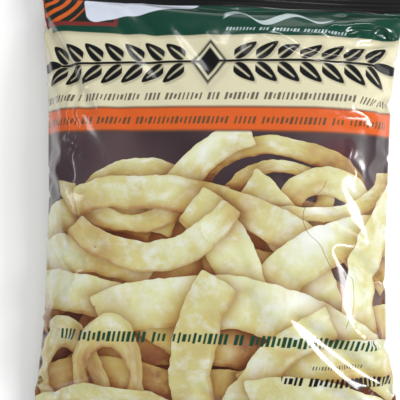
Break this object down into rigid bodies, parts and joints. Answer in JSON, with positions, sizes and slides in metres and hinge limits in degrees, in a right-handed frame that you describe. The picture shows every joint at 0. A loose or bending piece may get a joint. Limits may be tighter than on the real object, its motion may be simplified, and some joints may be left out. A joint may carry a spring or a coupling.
{
  "type": "pasta mix pouch",
  "caption": "Sealed pillow pouch of dry pasta and sauce mix, with crimped end seals and a folded fin seal down its back, lying with the printed front up.",
  "frame": {"origin": "middle of the pouch's outline, on the surface that its back lies on", "axes": "+X across the pouch to the right of the printed front, +Y towards the top seal, +Z out of the printed front"},
  "size_m": [0.176, 0.217, 0.0389],
  "materials": {
    "printed_film": "glossy printed laminate film"
  },
  "bodies": {
    "root": {"pouch": "printed_film"}
  },
  "joints": []
}
